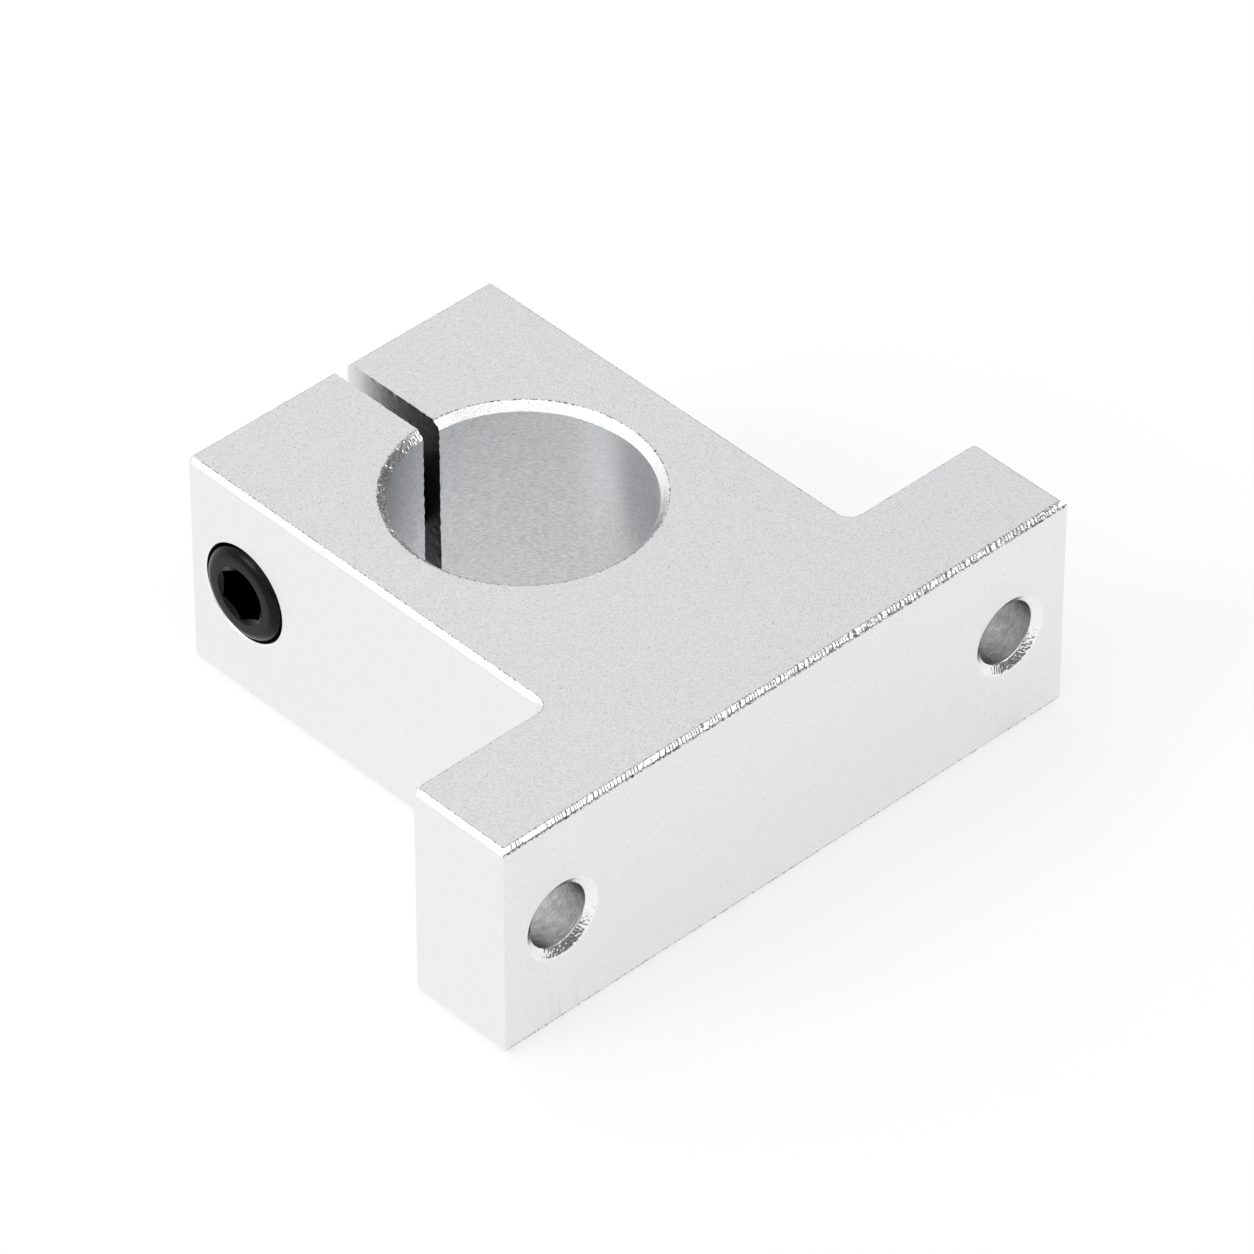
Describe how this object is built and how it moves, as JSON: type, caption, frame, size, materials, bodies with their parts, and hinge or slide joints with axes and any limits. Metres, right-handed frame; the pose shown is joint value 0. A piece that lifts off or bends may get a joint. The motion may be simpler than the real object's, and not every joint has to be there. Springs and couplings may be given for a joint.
{
  "type": "shaft support block",
  "caption": "T-shaped aluminium block that clamps the end of a round shaft in a slit bore with one socket head screw and bolts down through two feet.",
  "frame": {"origin": "on the axis of the shaft bore, half way through the block", "axes": "+Z along the shaft bore and up from the flat side that the block lies on, +X along the base away from the screw's head, +Y from the base face towards the slit end"},
  "size_m": [0.07, 0.06, 0.024],
  "materials": {
    "blasted_aluminium": "satin",
    "black_oxide_steel": "satin"
  },
  "bodies": {
    "support_block": {"support_block": "blasted_aluminium"},
    "clamp_screw": {"clamp_screw": "black_oxide_steel"}
  },
  "joints": [
    {"name": "clamp_screw_turn", "type": "hinge", "parent": "support_block", "child": "clamp_screw", "pos_m": [-0.019, 0.0175, 0], "axis": [-1, 0, 0], "range_deg": [0, 360]}
  ]
}
